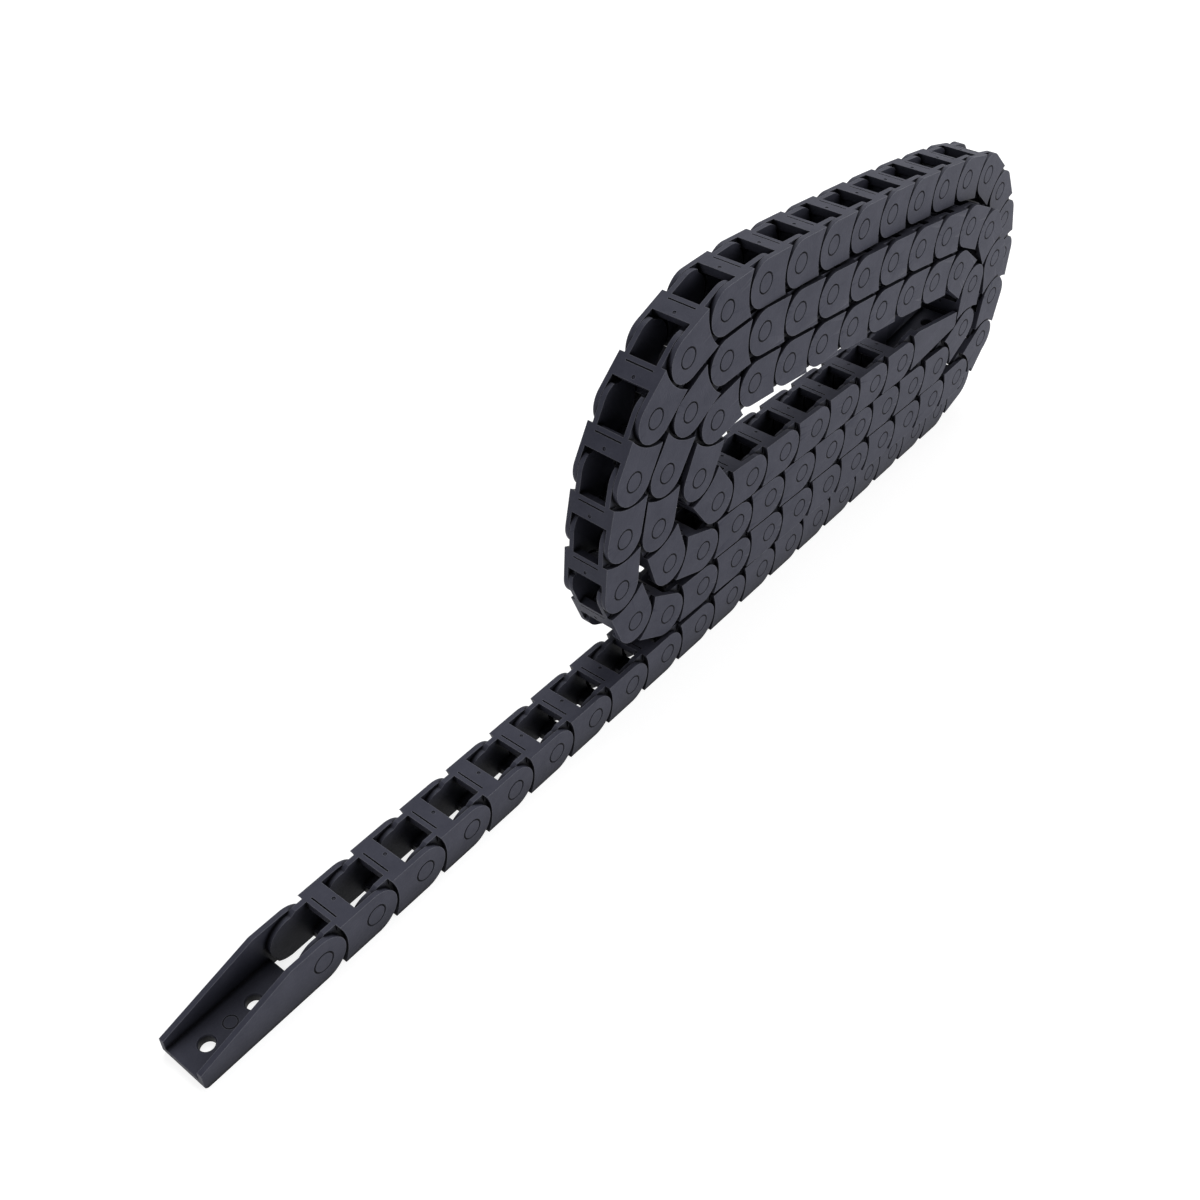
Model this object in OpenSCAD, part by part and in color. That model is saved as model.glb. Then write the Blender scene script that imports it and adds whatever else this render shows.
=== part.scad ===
/* [Chain] */
// Distance between two neighbouring hinges
pitch = 15; // [14:0.5:18]
// Height of a link over its outer faces
link_h = 12.2; // [11.8:0.1:12.4]
// Width of a link over its outer faces
link_w = 13; // [12:0.5:16]
// Thickness of the outer and the inset side plates
plate_t = 1.3; // [1.1:0.1:1.4]
// Thickness of the cross bars above and below the cables
bar_t = 2.4; // [2:0.1:2.6]
// Largest bend of one hinge, which gives the bend radius
max_bend = 60; // [59:0.5:60]

/* [Hinge] */
// Radius of a hinge pin
pin_r = 2.45; // [2.2:0.05:2.6]
// Radial clearance of a pin in its ear
pin_fit = 0.05; // [0.03:0.01:0.1]
// Gap between an ear and the inset ear beside it
ear_gap = 0.1; // [0.05:0.05:0.2]
// Radius of the inset ears
boss_r = 5.4; // [5.2:0.1:5.4]

/* [End brackets] */
// Hinge to end of the outer bracket
outer_len = 32; // [31:0.5:34]
// Hinge to end of the inner bracket
inner_len = 31; // [30:0.5:31]
// Height of the brackets' side walls at their low ends
low_wall = 5.1; // [4:0.1:6]
// Screw hole radius
screw_r = 1.75; // [1.6:0.05:2]
// Distance between the two screw holes
screw_gap = 12; // [11:0.5:13]

/* [Hidden] */
$fn = 64;
half_h = link_h / 2;
half_w = link_w / 2;
plate_y = half_w - plate_t;
inset_y = plate_y - ear_gap - plate_t;
bar_z = half_h - bar_t;
bar_front = pitch - 4.2;
bar_back = 5.4;
stop_d = 4.1;
nylon = [0.27, 0.27, 0.29];

// The stored shape: the bend at each hinge in degrees, run by run, from the
// outer bracket to the inner bracket.
tail_run = [for (k = [0:17]) 0];
outer_turn = [17, 33, 30, 12, 20, 14, 17, 24, 5];
outer_top = [1, 1, 1, 0, 1, 1];
outer_left = [6, 20, 21, 19, 17, 8, 25, 40, 27];
second_row = [0, 0, 0, 0, 0, 0, 0, 1, 3];
second_turn = [32, 51, 20, 19, 30, 16];
second_top = [1, 1, 1, 0, 0, 1];
second_left = [9, 26, 28.5, 22.5, 29, 51, 18];
third_row = [0, 0, 0, 0, 0, 0, 0];
third_turn = [32, 59, 53, 28];
third_top = [1, 1, 1, 0, 0, 1];
third_left = [17, 55, 59, 51, 2];
fourth_row = [0, 0, 0, 0];
inner_end = [9];
bends = concat(tail_run, outer_turn, outer_top, outer_left,
    second_row, second_turn, second_top, second_left,
    third_row, third_turn, third_top, third_left, fourth_row, inner_end);

// The inner rings stand a little askew to the floor run: six hinges of the
// outer ring's crossing each use 0.3 degrees of their side play.
side_play = 0.3;
first_askew = 31;
last_askew = 36;

// Heading, side turn and position of every hinge and of the piece after it
heading = [for (k = 0, a = bends[0]; k < len(bends);
    k = k + 1, a = a + (k < len(bends) ? bends[k] : 0)) a];
askew = [for (k = [0:len(bends) - 1]) -side_play * max(0, min(k, last_askew) - first_askew + 1)];
function step_of(k) = pitch * [
    cos(heading[k]) * cos(askew[k]), cos(heading[k]) * sin(askew[k]), sin(heading[k])];
hinge = [for (k = 0, p = [outer_len - 12, 0, half_h]; k < len(bends);
    p = p + step_of(k), k = k + 1) p];

// A flat shape in X and Z, given thickness along Y from y0
module slab(y0, t) {
    translate([0, y0 + t, 0]) rotate([90, 0, 0]) linear_extrude(t) children();
}

// The same thing on the near and the far side
module both_sides() {
    children();
    mirror([0, 1, 0]) children();
}

// Hole in an outer ear, with a small lead-in at the face
module ear_hole(x) {
    translate([x, plate_y - 1, 0]) rotate([-90, 0, 0]) cylinder(h = plate_t + 2, r = pin_r + pin_fit);
    translate([x, half_w - 0.3, 0]) rotate([-90, 0, 0])
        cylinder(h = 0.4, r1 = pin_r + pin_fit, r2 = pin_r + pin_fit + 0.4);
}

// Hinge pin standing on an inset ear, with a chamfered end
module pin() {
    translate([0, plate_y - ear_gap - 0.2, 0]) rotate([-90, 0, 0])
        cylinder(h = plate_t + ear_gap, r = pin_r);
    translate([0, half_w - 0.2, 0]) rotate([-90, 0, 0])
        cylinder(h = 0.2, r1 = pin_r, r2 = pin_r - 0.2);
}

// Inset ear: a disc, the slanted face that stops the inward bend, the flat
// top behind it and the square corner that stops the outward bend
module inset_shape(x_end) {
    reach = (half_h - stop_d * sin(max_bend)) / cos(max_bend);
    s0 = sqrt(boss_r * boss_r - stop_d * stop_d);
    n = [-cos(max_bend), sin(max_bend)];
    t = [sin(max_bend), cos(max_bend)];
    circle(r = boss_r);
    polygon([[0, 0], stop_d * n + s0 * t, stop_d * n + reach * t,
        [x_end, half_h], [x_end, -half_h], [0, -half_h]]);
    intersection() {
        circle(r = half_h);
        translate([-stop_d, -half_h]) square([stop_d + 0.5, half_h]);
    }
}

// Curved front edge that both the link's and the bracket's outer plates have
module front_arc() {
    translate([-7.5, 0]) circle(r = 14.2, $fn = 96);
}

// Cross bar with eased inner edges and a shallow line behind its front lip
module cross_bar() {
    difference() {
        slab(-plate_y - 0.2, 2 * plate_y + 0.4) polygon([
            [bar_back, bar_z + 0.4], [bar_back + 0.4, bar_z], [bar_front - 0.4, bar_z],
            [bar_front, bar_z + 0.4], [bar_front, half_h], [bar_back, half_h]]);
        translate([bar_back + 1.2, -inset_y, half_h - 0.3]) cube([0.35, 2 * inset_y, 1]);
        translate([bar_back + 4.2, 0, half_h - 0.15]) cylinder(h = 1, r = 0.45, $fn = 24);
    }
}

// One link: the near hinge, with its pins, is at the origin and the far
// hinge, with its ears, is one pitch along X
module link() {
    both_sides() {
        difference() {
            slab(plate_y, plate_t) difference() {
                union() {
                    translate([4, -half_h]) square([pitch - 4, link_h]);
                    translate([pitch, 0]) circle(r = half_h);
                }
                front_arc();
            }
            ear_hole(pitch);
        }
        slab(inset_y, plate_t) difference() {
            inset_shape(bar_front);
            translate([pitch, 0]) circle(r = 6.3);
        }
        slab(plate_y - ear_gap - 0.2, ear_gap + 0.4) difference() {
            translate([4, -half_h + 0.02]) square([bar_front - 4, link_h - 0.04]);
            front_arc();
            translate([pitch, 0]) circle(r = 6.3);
        }
        pin();
    }
    cross_bar();
    mirror([0, 0, 1]) cross_bar();
}

// Screw hole through a bracket's floor, and the mark between the two holes
module screw_hole(x) {
    translate([x, 0, -half_h - 1]) cylinder(h = bar_t + 2, r = screw_r);
    translate([x, 0, -bar_z - 0.3]) cylinder(h = 0.31, r1 = screw_r, r2 = screw_r + 0.3);
}
module floor_mark(x) {
    translate([x, 0, -bar_z - 0.15]) difference() {
        cylinder(h = 0.5, r = 1.65);
        translate([0, 0, -0.5]) cylinder(h = 2, r = 1.4);
    }
}

// Rounds the lower edge of a bracket's end, at x along X
module end_round(x, side) {
    r = 1.2;
    translate([x, 0, -half_h]) mirror([side, 0, 0]) translate([-r, 0, 0])
        slab(-link_w, 2 * link_w) difference() {
            translate([0, -r]) square([2 * r, 2 * r]);
            translate([0, r]) circle(r = r);
            translate([-r, r]) square([3 * r, r]);
        }
}

// End bracket with ears, running back from its hinge to its screwed end
module ear_bracket() {
    difference() {
        union() {
            both_sides() difference() {
                slab(plate_y, plate_t) {
                    circle(r = half_h);
                    polygon([[0, half_h], [-8, half_h], [-outer_len, low_wall - half_h],
                        [-outer_len, -half_h], [0, -half_h]]);
                }
                ear_hole(0);
            }
            translate([-outer_len, -plate_y - 0.2, -half_h])
                cube([outer_len - 5.2, 2 * plate_y + 0.4, bar_t]);
        }
        screw_hole(6 - outer_len + screw_gap);
        screw_hole(6 - outer_len);
        floor_mark(-outer_len + 12);
        end_round(-outer_len, 1);
    }
}

// End bracket with inset ears and pins, running on from its hinge
module pin_bracket() {
    difference() {
        union() {
            both_sides() {
                slab(plate_y, plate_t) difference() {
                    polygon([[4, half_h], [8, half_h], [inner_len, low_wall - half_h],
                        [inner_len, -half_h], [4, -half_h]]);
                    front_arc();
                }
                slab(inset_y, plate_t) inset_shape(8);
                slab(plate_y - ear_gap - 0.2, ear_gap + 0.4) difference() {
                    translate([4, -half_h + 0.02]) square([4, link_h - 0.04]);
                    front_arc();
                }
                pin();
            }
            translate([bar_back, -plate_y - 0.2, -half_h])
                cube([inner_len - bar_back, 2 * plate_y + 0.4, bar_t]);
        }
        screw_hole(inner_len - 6 - screw_gap);
        screw_hole(inner_len - 6);
        floor_mark(inner_len - 6 - screw_gap / 2);
        end_round(inner_len, 0);
    }
}

// Puts a piece at hinge k, along the piece's own heading
module at_hinge(k) {
    color(nylon) translate(hinge[k]) rotate([0, -heading[k], askew[k]]) children();
}
module links(first, last) {
    for (k = [first:last]) at_hinge(k) link();
}

// Outer end bracket, which is screwed down at the chain's outer end
module outer_end_bracket() {
    at_hinge(0) ear_bracket();
}
// Links of the free tail
module tail_link_1() {
    at_hinge(0) link();
}
module tail_link_2() {
    at_hinge(1) link();
}
module tail_link_3() {
    at_hinge(2) link();
}
module tail_link_4() {
    at_hinge(3) link();
}
module tail_link_5() {
    at_hinge(4) link();
}
// Links of the run that carries the coil
module floor_run_link_1() {
    at_hinge(5) link();
}
module floor_run_link_2() {
    at_hinge(6) link();
}
module floor_run_link_3() {
    at_hinge(7) link();
}
module floor_run_link_4() {
    at_hinge(8) link();
}
module floor_run_link_5() {
    at_hinge(9) link();
}
module floor_run_link_6() {
    at_hinge(10) link();
}
module floor_run_link_7() {
    at_hinge(11) link();
}
module floor_run_link_8() {
    at_hinge(12) link();
}
module floor_run_link_9() {
    at_hinge(13) link();
}
module floor_run_link_10() {
    at_hinge(14) link();
}
module floor_run_link_11() {
    at_hinge(15) link();
}
module floor_run_link_12() {
    at_hinge(16) link();
}
module floor_run_link_13() {
    at_hinge(17) link();
}
// Links of the outer ring's first turn
module outer_turn_link_1() {
    at_hinge(18) link();
}
module outer_turn_link_2() {
    at_hinge(19) link();
}
module outer_turn_link_3() {
    at_hinge(20) link();
}
module outer_turn_link_4() {
    at_hinge(21) link();
}
module outer_turn_link_5() {
    at_hinge(22) link();
}
module outer_turn_link_6() {
    at_hinge(23) link();
}
module outer_turn_link_7() {
    at_hinge(24) link();
}
module outer_turn_link_8() {
    at_hinge(25) link();
}
// Links across the outer ring's top
module outer_top_link_1() {
    at_hinge(26) link();
}
module outer_top_link_2() {
    at_hinge(27) link();
}
module outer_top_link_3() {
    at_hinge(28) link();
}
module outer_top_link_4() {
    at_hinge(29) link();
}
module outer_top_link_5() {
    at_hinge(30) link();
}
module outer_top_link_6() {
    at_hinge(31) link();
}
module outer_top_link_7() {
    at_hinge(32) link();
}
// Links of the outer ring's second turn
module outer_left_link_1() {
    at_hinge(33) link();
}
module outer_left_link_2() {
    at_hinge(34) link();
}
module outer_left_link_3() {
    at_hinge(35) link();
}
module outer_left_link_4() {
    at_hinge(36) link();
}
module outer_left_link_5() {
    at_hinge(37) link();
}
module outer_left_link_6() {
    at_hinge(38) link();
}
module outer_left_link_7() {
    at_hinge(39) link();
}
module outer_left_link_8() {
    at_hinge(40) link();
}
// Rows and turns of the second ring, as groups of separate links
module second_row_links() {
    links(41, 50);
}
module second_turn_links() {
    links(51, 55);
}
module second_top_links() {
    links(56, 62);
}
module second_left_links() {
    links(63, 68);
}
// Rows and turns of the third ring
module third_row_links() {
    links(69, 76);
}
module third_turn_link_1() {
    at_hinge(77) link();
}
module third_turn_link_2() {
    at_hinge(78) link();
}
module third_turn_link_3() {
    at_hinge(79) link();
}
module third_top_links() {
    links(80, 86);
}
module third_left_links() {
    links(87, 90);
}
// Links of the innermost row
module fourth_row_link_1() {
    at_hinge(91) link();
}
module fourth_row_link_2() {
    at_hinge(92) link();
}
module fourth_row_link_3() {
    at_hinge(93) link();
}
module fourth_row_link_4() {
    at_hinge(94) link();
}
module fourth_row_link_5() {
    at_hinge(95) link();
}
// Inner end bracket, loose inside the coil
module inner_end_bracket() {
    at_hinge(96) pin_bracket();
}

outer_end_bracket();
tail_link_1();
tail_link_2();
tail_link_3();
tail_link_4();
tail_link_5();
floor_run_link_1();
floor_run_link_2();
floor_run_link_3();
floor_run_link_4();
floor_run_link_5();
floor_run_link_6();
floor_run_link_7();
floor_run_link_8();
floor_run_link_9();
floor_run_link_10();
floor_run_link_11();
floor_run_link_12();
floor_run_link_13();
outer_turn_link_1();
outer_turn_link_2();
outer_turn_link_3();
outer_turn_link_4();
outer_turn_link_5();
outer_turn_link_6();
outer_turn_link_7();
outer_turn_link_8();
outer_top_link_1();
outer_top_link_2();
outer_top_link_3();
outer_top_link_4();
outer_top_link_5();
outer_top_link_6();
outer_top_link_7();
outer_left_link_1();
outer_left_link_2();
outer_left_link_3();
outer_left_link_4();
outer_left_link_5();
outer_left_link_6();
outer_left_link_7();
outer_left_link_8();
second_row_links();
second_turn_links();
second_top_links();
second_left_links();
third_row_links();
third_turn_link_1();
third_turn_link_2();
third_turn_link_3();
third_top_links();
third_left_links();
fourth_row_link_1();
fourth_row_link_2();
fourth_row_link_3();
fourth_row_link_4();
fourth_row_link_5();
inner_end_bracket();
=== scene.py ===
"""Studio scene of a coiled cable drag chain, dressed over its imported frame."""

import logging
import math
from dataclasses import dataclass, field
from enum import Enum

import bpy
from mathutils import Matrix, Vector


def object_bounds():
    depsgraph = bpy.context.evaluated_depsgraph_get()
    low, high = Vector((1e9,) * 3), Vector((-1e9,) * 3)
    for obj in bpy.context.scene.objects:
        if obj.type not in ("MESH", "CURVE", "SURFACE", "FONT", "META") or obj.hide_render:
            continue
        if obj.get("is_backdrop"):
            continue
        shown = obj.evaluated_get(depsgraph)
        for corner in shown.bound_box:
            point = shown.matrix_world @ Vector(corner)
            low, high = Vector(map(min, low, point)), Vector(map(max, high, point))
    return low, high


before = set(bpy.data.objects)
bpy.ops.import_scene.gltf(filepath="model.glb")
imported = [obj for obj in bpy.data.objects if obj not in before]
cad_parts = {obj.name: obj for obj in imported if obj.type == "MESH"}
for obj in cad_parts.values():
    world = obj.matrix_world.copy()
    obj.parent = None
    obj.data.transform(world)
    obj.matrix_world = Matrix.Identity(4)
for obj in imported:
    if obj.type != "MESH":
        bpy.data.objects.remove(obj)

LOG = logging.getLogger("drag_chain")
MM = 0.001

# A colour mix keeps its two colours and its result on these sockets.
MIX_FIRST = 6
MIX_SECOND = 7
MIX_RESULT = 2


class LampShape(Enum):
    """Shapes of soft lamp that the studio hangs."""

    SQUARE = "SQUARE"
    DISC = "DISK"


def set_input(node: bpy.types.Node, name: str, value: object) -> None:
    """Sets a socket's constant by its name.

    Args:
        node: Shader node that has the socket.
        name: Socket name as the shader shows it.
        value: Number, colour or vector for the socket.
    """
    node.inputs[name].default_value = value


def blend_colour(
    tree: bpy.types.NodeTree,
    share: bpy.types.NodeSocket,
    first: bpy.types.NodeSocket,
    second: tuple[float, float, float],
) -> bpy.types.NodeSocket:
    """Blends a colour towards a plain one.

    Args:
        tree: Node tree that gets the node.
        share: Share of the plain colour, from 0 to 1.
        first: Colour that is blended.
        second: The plain colour.

    Returns:
        The blended colour.
    """
    mix = tree.nodes.new("ShaderNodeMix")
    mix.data_type = "RGBA"
    tree.links.new(share, mix.inputs["Factor"])
    tree.links.new(first, mix.inputs[MIX_FIRST])
    mix.inputs[MIX_SECOND].default_value = (*second, 1.0)
    return mix.outputs[MIX_RESULT]


@dataclass(frozen=True)
class Noise:
    """Size and character of one noise pattern."""

    scale: float
    detail: float
    roughness: float

    def add(self, tree: bpy.types.NodeTree, place: bpy.types.NodeSocket) -> bpy.types.NodeSocket:
        """Adds the pattern to a material.

        Args:
            tree: Node tree that gets the node.
            place: Coordinates that the pattern follows.

        Returns:
            The pattern's strength, from 0 to 1.
        """
        node = tree.nodes.new("ShaderNodeTexNoise")
        set_input(node, "Scale", self.scale)
        set_input(node, "Detail", self.detail)
        set_input(node, "Roughness", self.roughness)
        tree.links.new(place, node.inputs["Vector"])
        return node.outputs["Fac"]


@dataclass(frozen=True)
class ShadedRecess:
    """A kind of hollow in the moulding, and how much painted shade it gets.

    reach is how far away a wall still counts, in metres. full_at and none_at
    are the openness at which the painted shade is full and at which it ends, and
    most is the share of the painted shade at its fullest.
    """

    reach: float
    full_at: float
    none_at: float
    most: float


@dataclass(frozen=True)
class MouldedNylon:
    """Matte black nylon straight from a spark-eroded mould."""

    name: str = "moulded_black_nylon"
    base: tuple[float, float, float] = (0.034, 0.035, 0.050)
    worn: tuple[float, float, float] = (0.048, 0.049, 0.067)
    # Lighter colour painted along the edges as a highlight.
    edge_highlight: tuple[float, float, float] = (0.120, 0.122, 0.140)
    # Near-black painted shade for the grooves and hollows.
    painted_shade: tuple[float, float, float] = (0.002, 0.002, 0.003)
    roughness: float = 0.50
    smoother: float = 0.07
    rougher: float = 0.09
    sheen_level: float = 0.09
    sheen_tint: tuple[float, float, float] = (0.86, 0.90, 1.0)
    edge_width: float = 0.00030
    edge_samples: int = 4
    edge_from: float = 0.99
    edge_full: float = 0.80
    grain: Noise = Noise(scale=1900.0, detail=2.0, roughness=0.55)
    grain_depth: float = 0.00005
    grain_strength: float = 0.8
    cloud: Noise = Noise(scale=160.0, detail=4.0, roughness=0.6)
    cloud_low: float = 0.30
    cloud_high: float = 0.75
    # Painted shade in the pin grooves (crevice) and deep inside the channels (cavity).
    crevice: ShadedRecess = ShadedRecess(reach=0.0012, full_at=0.68, none_at=0.985, most=0.97)
    cavity: ShadedRecess = ShadedRecess(reach=0.0090, full_at=0.25, none_at=0.96, most=0.98)
    recess_samples: int = 6

    def material(self) -> bpy.types.Material:
        """Builds the node material.

        Returns:
            A material with fine grain, soft clouding, painted edge highlights and painted shade in
            its grooves and hollows.
        """
        mat = bpy.data.materials.new(self.name)
        mat.use_nodes = True
        tree = mat.node_tree
        nodes, links = tree.nodes, tree.links
        nodes.clear()
        out = nodes.new("ShaderNodeOutputMaterial")
        shader = nodes.new("ShaderNodeBsdfPrincipled")
        links.new(shader.outputs["BSDF"], out.inputs["Surface"])
        coord = nodes.new("ShaderNodeTexCoord")

        cloud = self.cloud.add(tree, coord.outputs["Object"])
        grain = self.grain.add(tree, coord.outputs["Object"])

        tone = nodes.new("ShaderNodeValToRGB")
        low, high = tone.color_ramp.elements
        low.position, low.color = self.cloud_low, (*self.base, 1.0)
        high.position, high.color = self.cloud_high, (*self.worn, 1.0)
        links.new(cloud, tone.inputs["Fac"])

        # Painted highlight along the edges.
        edge_highlighted = self.paint_edge_highlights(tree, tone.outputs["Color"])
        # Painted shade in the grooves, then in the deep hollows.
        groove_shaded = self.paint_recess_shade(tree, edge_highlighted, self.crevice)
        shaded = self.paint_recess_shade(tree, groove_shaded, self.cavity)
        links.new(shaded, shader.inputs["Base Color"])

        gloss = nodes.new("ShaderNodeMapRange")
        set_input(gloss, "To Min", self.roughness - self.smoother)
        set_input(gloss, "To Max", self.roughness + self.rougher)
        links.new(grain, gloss.inputs["Value"])
        links.new(gloss.outputs["Result"], shader.inputs["Roughness"])

        bump = nodes.new("ShaderNodeBump")
        set_input(bump, "Strength", self.grain_strength)
        set_input(bump, "Distance", self.grain_depth)
        links.new(grain, bump.inputs["Height"])
        links.new(bump.outputs["Normal"], shader.inputs["Normal"])
        set_input(shader, "Specular IOR Level", self.sheen_level)
        set_input(shader, "Specular Tint", (*self.sheen_tint, 1.0))
        return mat

    def paint_edge_highlights(self, tree: bpy.types.NodeTree, colour: bpy.types.NodeSocket) -> bpy.types.NodeSocket:
        """Paints a lighter highlight along the moulding's edges.

        Args:
            tree: Node tree that gets the nodes.
            colour: Colour of the flat faces.

        Returns:
            The colour with its painted edge highlights.
        """
        nodes, links = tree.nodes, tree.links
        round_off = nodes.new("ShaderNodeBevel")
        round_off.samples = self.edge_samples
        set_input(round_off, "Radius", self.edge_width)
        flat = nodes.new("ShaderNodeNewGeometry")
        agree = nodes.new("ShaderNodeVectorMath")
        agree.operation = "DOT_PRODUCT"
        links.new(round_off.outputs["Normal"], agree.inputs[0])
        links.new(flat.outputs["Normal"], agree.inputs[1])
        edge_highlight_share = nodes.new("ShaderNodeMapRange")
        set_input(edge_highlight_share, "From Min", self.edge_from)
        set_input(edge_highlight_share, "From Max", self.edge_full)
        links.new(agree.outputs["Value"], edge_highlight_share.inputs["Value"])
        return blend_colour(tree, edge_highlight_share.outputs["Result"], colour, self.edge_highlight)

    def paint_recess_shade(
        self,
        tree: bpy.types.NodeTree,
        colour: bpy.types.NodeSocket,
        recess: ShadedRecess,
    ) -> bpy.types.NodeSocket:
        """Paints shade into one kind of recess of the moulding, darker where walls close in.

        Args:
            tree: Node tree that gets the nodes.
            colour: Colour of the open faces.
            recess: How near its walls are, and how much painted shade it gets.

        Returns:
            The colour with painted shade in its recesses.
        """
        nodes, links = tree.nodes, tree.links
        openness = nodes.new("ShaderNodeAmbientOcclusion")
        openness.samples = self.recess_samples
        set_input(openness, "Distance", recess.reach)
        shade_share = nodes.new("ShaderNodeMapRange")
        set_input(shade_share, "From Min", recess.full_at)
        set_input(shade_share, "From Max", recess.none_at)
        set_input(shade_share, "To Min", recess.most)
        set_input(shade_share, "To Max", 0.0)
        links.new(openness.outputs["AO"], shade_share.inputs["Value"])
        return blend_colour(tree, shade_share.outputs["Result"], colour, self.painted_shade)


@dataclass
class LinkDress:
    """Eases the edges of every moulded piece and gives it its finish."""

    finish: MouldedNylon = field(default_factory=MouldedNylon)
    edge_radius: float = 0.16 * MM
    edge_steps: int = 2
    sharp_from_deg: float = 35.0
    weld: float = 0.002 * MM

    def soften(self, obj: bpy.types.Object) -> None:
        """Adds the small moulded radius that every real edge has.

        Args:
            obj: CAD node that keeps its mesh and gets modifiers only.
        """
        weld = obj.modifiers.new("seams_closed", "WELD")
        weld.merge_threshold = self.weld
        bevel = obj.modifiers.new("moulded_radius", "BEVEL")
        bevel.width = self.edge_radius
        bevel.segments = self.edge_steps
        bevel.limit_method = "ANGLE"
        bevel.angle_limit = math.radians(self.sharp_from_deg)
        bevel.use_clamp_overlap = True
        bevel.harden_normals = True

    def dress(self, nodes: dict[str, bpy.types.Object]) -> None:
        """Gives every node its radius and its material.

        Args:
            nodes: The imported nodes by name.
        """
        material = self.finish.material()
        for name, obj in nodes.items():
            obj.data.materials.clear()
            obj.data.materials.append(material)
            self.soften(obj)
            LOG.info("dressed %s", name)


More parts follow.
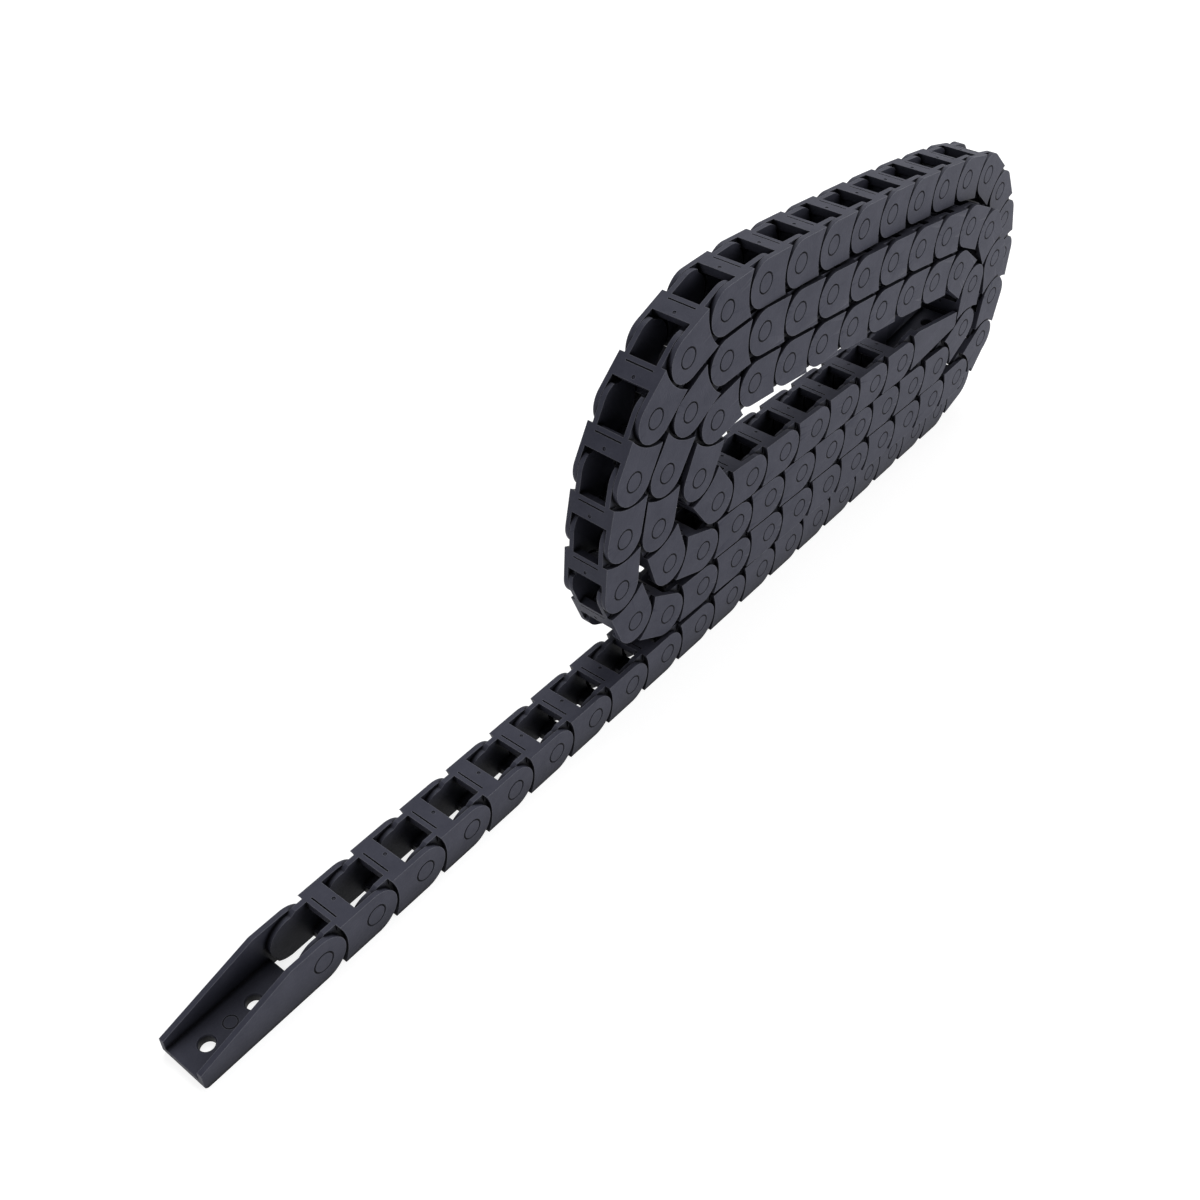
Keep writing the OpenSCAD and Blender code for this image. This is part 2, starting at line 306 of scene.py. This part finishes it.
@dataclass
class Studio:
    """Plain white sweep, soft lamps and the camera."""

    centre: Vector = field(default_factory=lambda: Vector((0.155, 0.0, 0.045)))
    floor_size: float = 6.0
    floor_gap: float = 0.00005
    floor_tone: float = 0.80
    sheet_white: float = 0.82
    shadow_share: float = 0.38
    air: float = 0.30
    lens: float = 39.23
    sensor_width: float = 36.0
    clip_start: float = 0.01
    camera_at: tuple[float, float, float] = (-0.0670, -0.1443, 0.2419)
    azimuth: float = 52.2
    depression: float = 41.27
    roll: float = 1.14

    def backdrop_material(self) -> bpy.types.Material:
        """Builds the white floor that still takes the chain's shadow.

        Returns:
            A pale material, white to the camera away from the shadow.
        """
        mat = bpy.data.materials.new("studio_white")
        mat.use_nodes = True
        nodes, links = mat.node_tree.nodes, mat.node_tree.links
        nodes.clear()
        out = nodes.new("ShaderNodeOutputMaterial")
        paint = nodes.new("ShaderNodeBsdfDiffuse")
        set_input(paint, "Color", (*[self.floor_tone] * 3, 1.0))
        paper = nodes.new("ShaderNodeBsdfDiffuse")
        set_input(paper, "Color", (*[self.shadow_share] * 3, 1.0))
        glow = nodes.new("ShaderNodeEmission")
        set_input(glow, "Strength", self.sheet_white)
        seen = nodes.new("ShaderNodeAddShader")
        links.new(paper.outputs["BSDF"], seen.inputs[0])
        links.new(glow.outputs["Emission"], seen.inputs[1])
        mix = nodes.new("ShaderNodeMixShader")
        links.new(self.seen_directly(mat.node_tree), mix.inputs["Fac"])
        links.new(paint.outputs["BSDF"], mix.inputs[1])
        links.new(seen.outputs["Shader"], mix.inputs[2])
        links.new(mix.outputs["Shader"], out.inputs["Surface"])
        return mat

    def seen_directly(self, tree: bpy.types.NodeTree) -> bpy.types.NodeSocket:
        """Adds the test for a ray from the camera, a gloss or a clear piece.

        Args:
            tree: Node tree that gets the nodes.

        Returns:
            A socket that is 1 for such a ray and 0 for any other.
        """
        path = tree.nodes.new("ShaderNodeLightPath")
        total = path.outputs["Is Camera Ray"]
        for kind in ("Is Glossy Ray", "Is Transmission Ray"):
            add = tree.nodes.new("ShaderNodeMath")
            add.operation = "MAXIMUM"
            tree.links.new(total, add.inputs[0])
            tree.links.new(path.outputs[kind], add.inputs[1])
            total = add.outputs["Value"]
        return total

    def floor(self) -> None:
        """Lays the floor just under the chain."""
        lo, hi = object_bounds()
        mesh = bpy.data.meshes.new("studio_floor")
        half = self.floor_size / 2
        z = lo.z - self.floor_gap
        x, y = (lo.x + hi.x) / 2, (lo.y + hi.y) / 2
        mesh.from_pydata(
            [(x + i * half, y + j * half, z) for i, j in ((-1, -1), (1, -1), (1, 1), (-1, 1))],
            [],
            [(0, 1, 2, 3)],
        )
        floor = bpy.data.objects.new("studio_floor", mesh)
        bpy.context.scene.collection.objects.link(floor)
        mesh.materials.append(self.backdrop_material())
        floor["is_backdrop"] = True

    def lamp(
        self,
        name: str,
        at: tuple[float, float, float],
        size: float,
        power: float,
        shape: LampShape = LampShape.SQUARE,
    ) -> None:
        """Hangs a soft lamp that faces the chain.

        Args:
            name: Name of the lamp.
            at: Place of the lamp in metres.
            size: Side length in metres.
            power: Power in watts.
            shape: Outline of the lamp.
        """
        data = bpy.data.lights.new(name, "AREA")
        data.shape = shape.value
        data.size = size
        data.energy = power
        lamp = bpy.data.objects.new(name, data)
        lamp.location = at
        aim = self.centre - Vector(at)
        lamp.rotation_euler = aim.to_track_quat("-Z", "Y").to_euler()
        bpy.context.scene.collection.objects.link(lamp)

    def world(self) -> None:
        """Fills the room with a weak, even light that looks white to the camera."""
        world = bpy.data.worlds.new("studio_air")
        bpy.context.scene.world = world
        world.use_nodes = True
        nodes, links = world.node_tree.nodes, world.node_tree.links
        nodes.clear()
        out = nodes.new("ShaderNodeOutputWorld")
        soft = nodes.new("ShaderNodeBackground")
        set_input(soft, "Color", (1.0, 1.0, 1.0, 1.0))
        set_input(soft, "Strength", self.air)
        white = nodes.new("ShaderNodeBackground")
        set_input(white, "Color", (1.0, 1.0, 1.0, 1.0))
        set_input(white, "Strength", 1.0)
        mix = nodes.new("ShaderNodeMixShader")
        links.new(self.seen_directly(world.node_tree), mix.inputs["Fac"])
        links.new(soft.outputs["Background"], mix.inputs[1])
        links.new(white.outputs["Background"], mix.inputs[2])
        links.new(mix.outputs["Shader"], out.inputs["Surface"])

    def camera(self) -> None:
        """Places the camera at the viewing angle."""
        data = bpy.data.cameras.new("camera")
        data.lens = self.lens
        data.sensor_width = self.sensor_width
        data.clip_start = self.clip_start
        camera = bpy.data.objects.new("camera", data)
        a, e = math.radians(self.azimuth), math.radians(self.depression)
        ahead = Vector((math.sin(a) * math.cos(e), math.cos(a) * math.cos(e), -math.sin(e)))
        level = ahead.cross(Vector((0.0, 0.0, 1.0))).normalized()
        r = math.radians(self.roll)
        right = level * math.cos(r) + level.cross(ahead) * math.sin(r)
        up = right.cross(ahead)
        turn = Matrix((right, up, -ahead)).transposed()
        camera.matrix_world = Matrix.Translation(self.camera_at) @ turn.to_4x4()
        bpy.context.scene.collection.objects.link(camera)
        bpy.context.scene.camera = camera

    def build(self) -> None:
        """Makes the whole studio."""
        self.camera()
        self.floor()
        self.world()
        self.lamp("side_lamp", (0.58, -0.85, 0.26), 0.8, 7.4)
        self.lamp("top_lamp", (0.55, 0.35, 1.00), 0.8, 8.0)
        self.lamp("tail_lamp", (-0.95, -0.15, 0.12), 0.6, 3.4, LampShape.DISC)
        bpy.context.scene.view_settings.view_transform = "Standard"
        LOG.info("studio ready")


def main() -> None:
    """Builds the scene in order and reports each piece."""
    logging.basicConfig(level=logging.INFO, format="%(name)s: %(message)s")
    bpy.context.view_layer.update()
    Studio().build()
    LinkDress().dress(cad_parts)


if __name__ == "__main__":
    main()
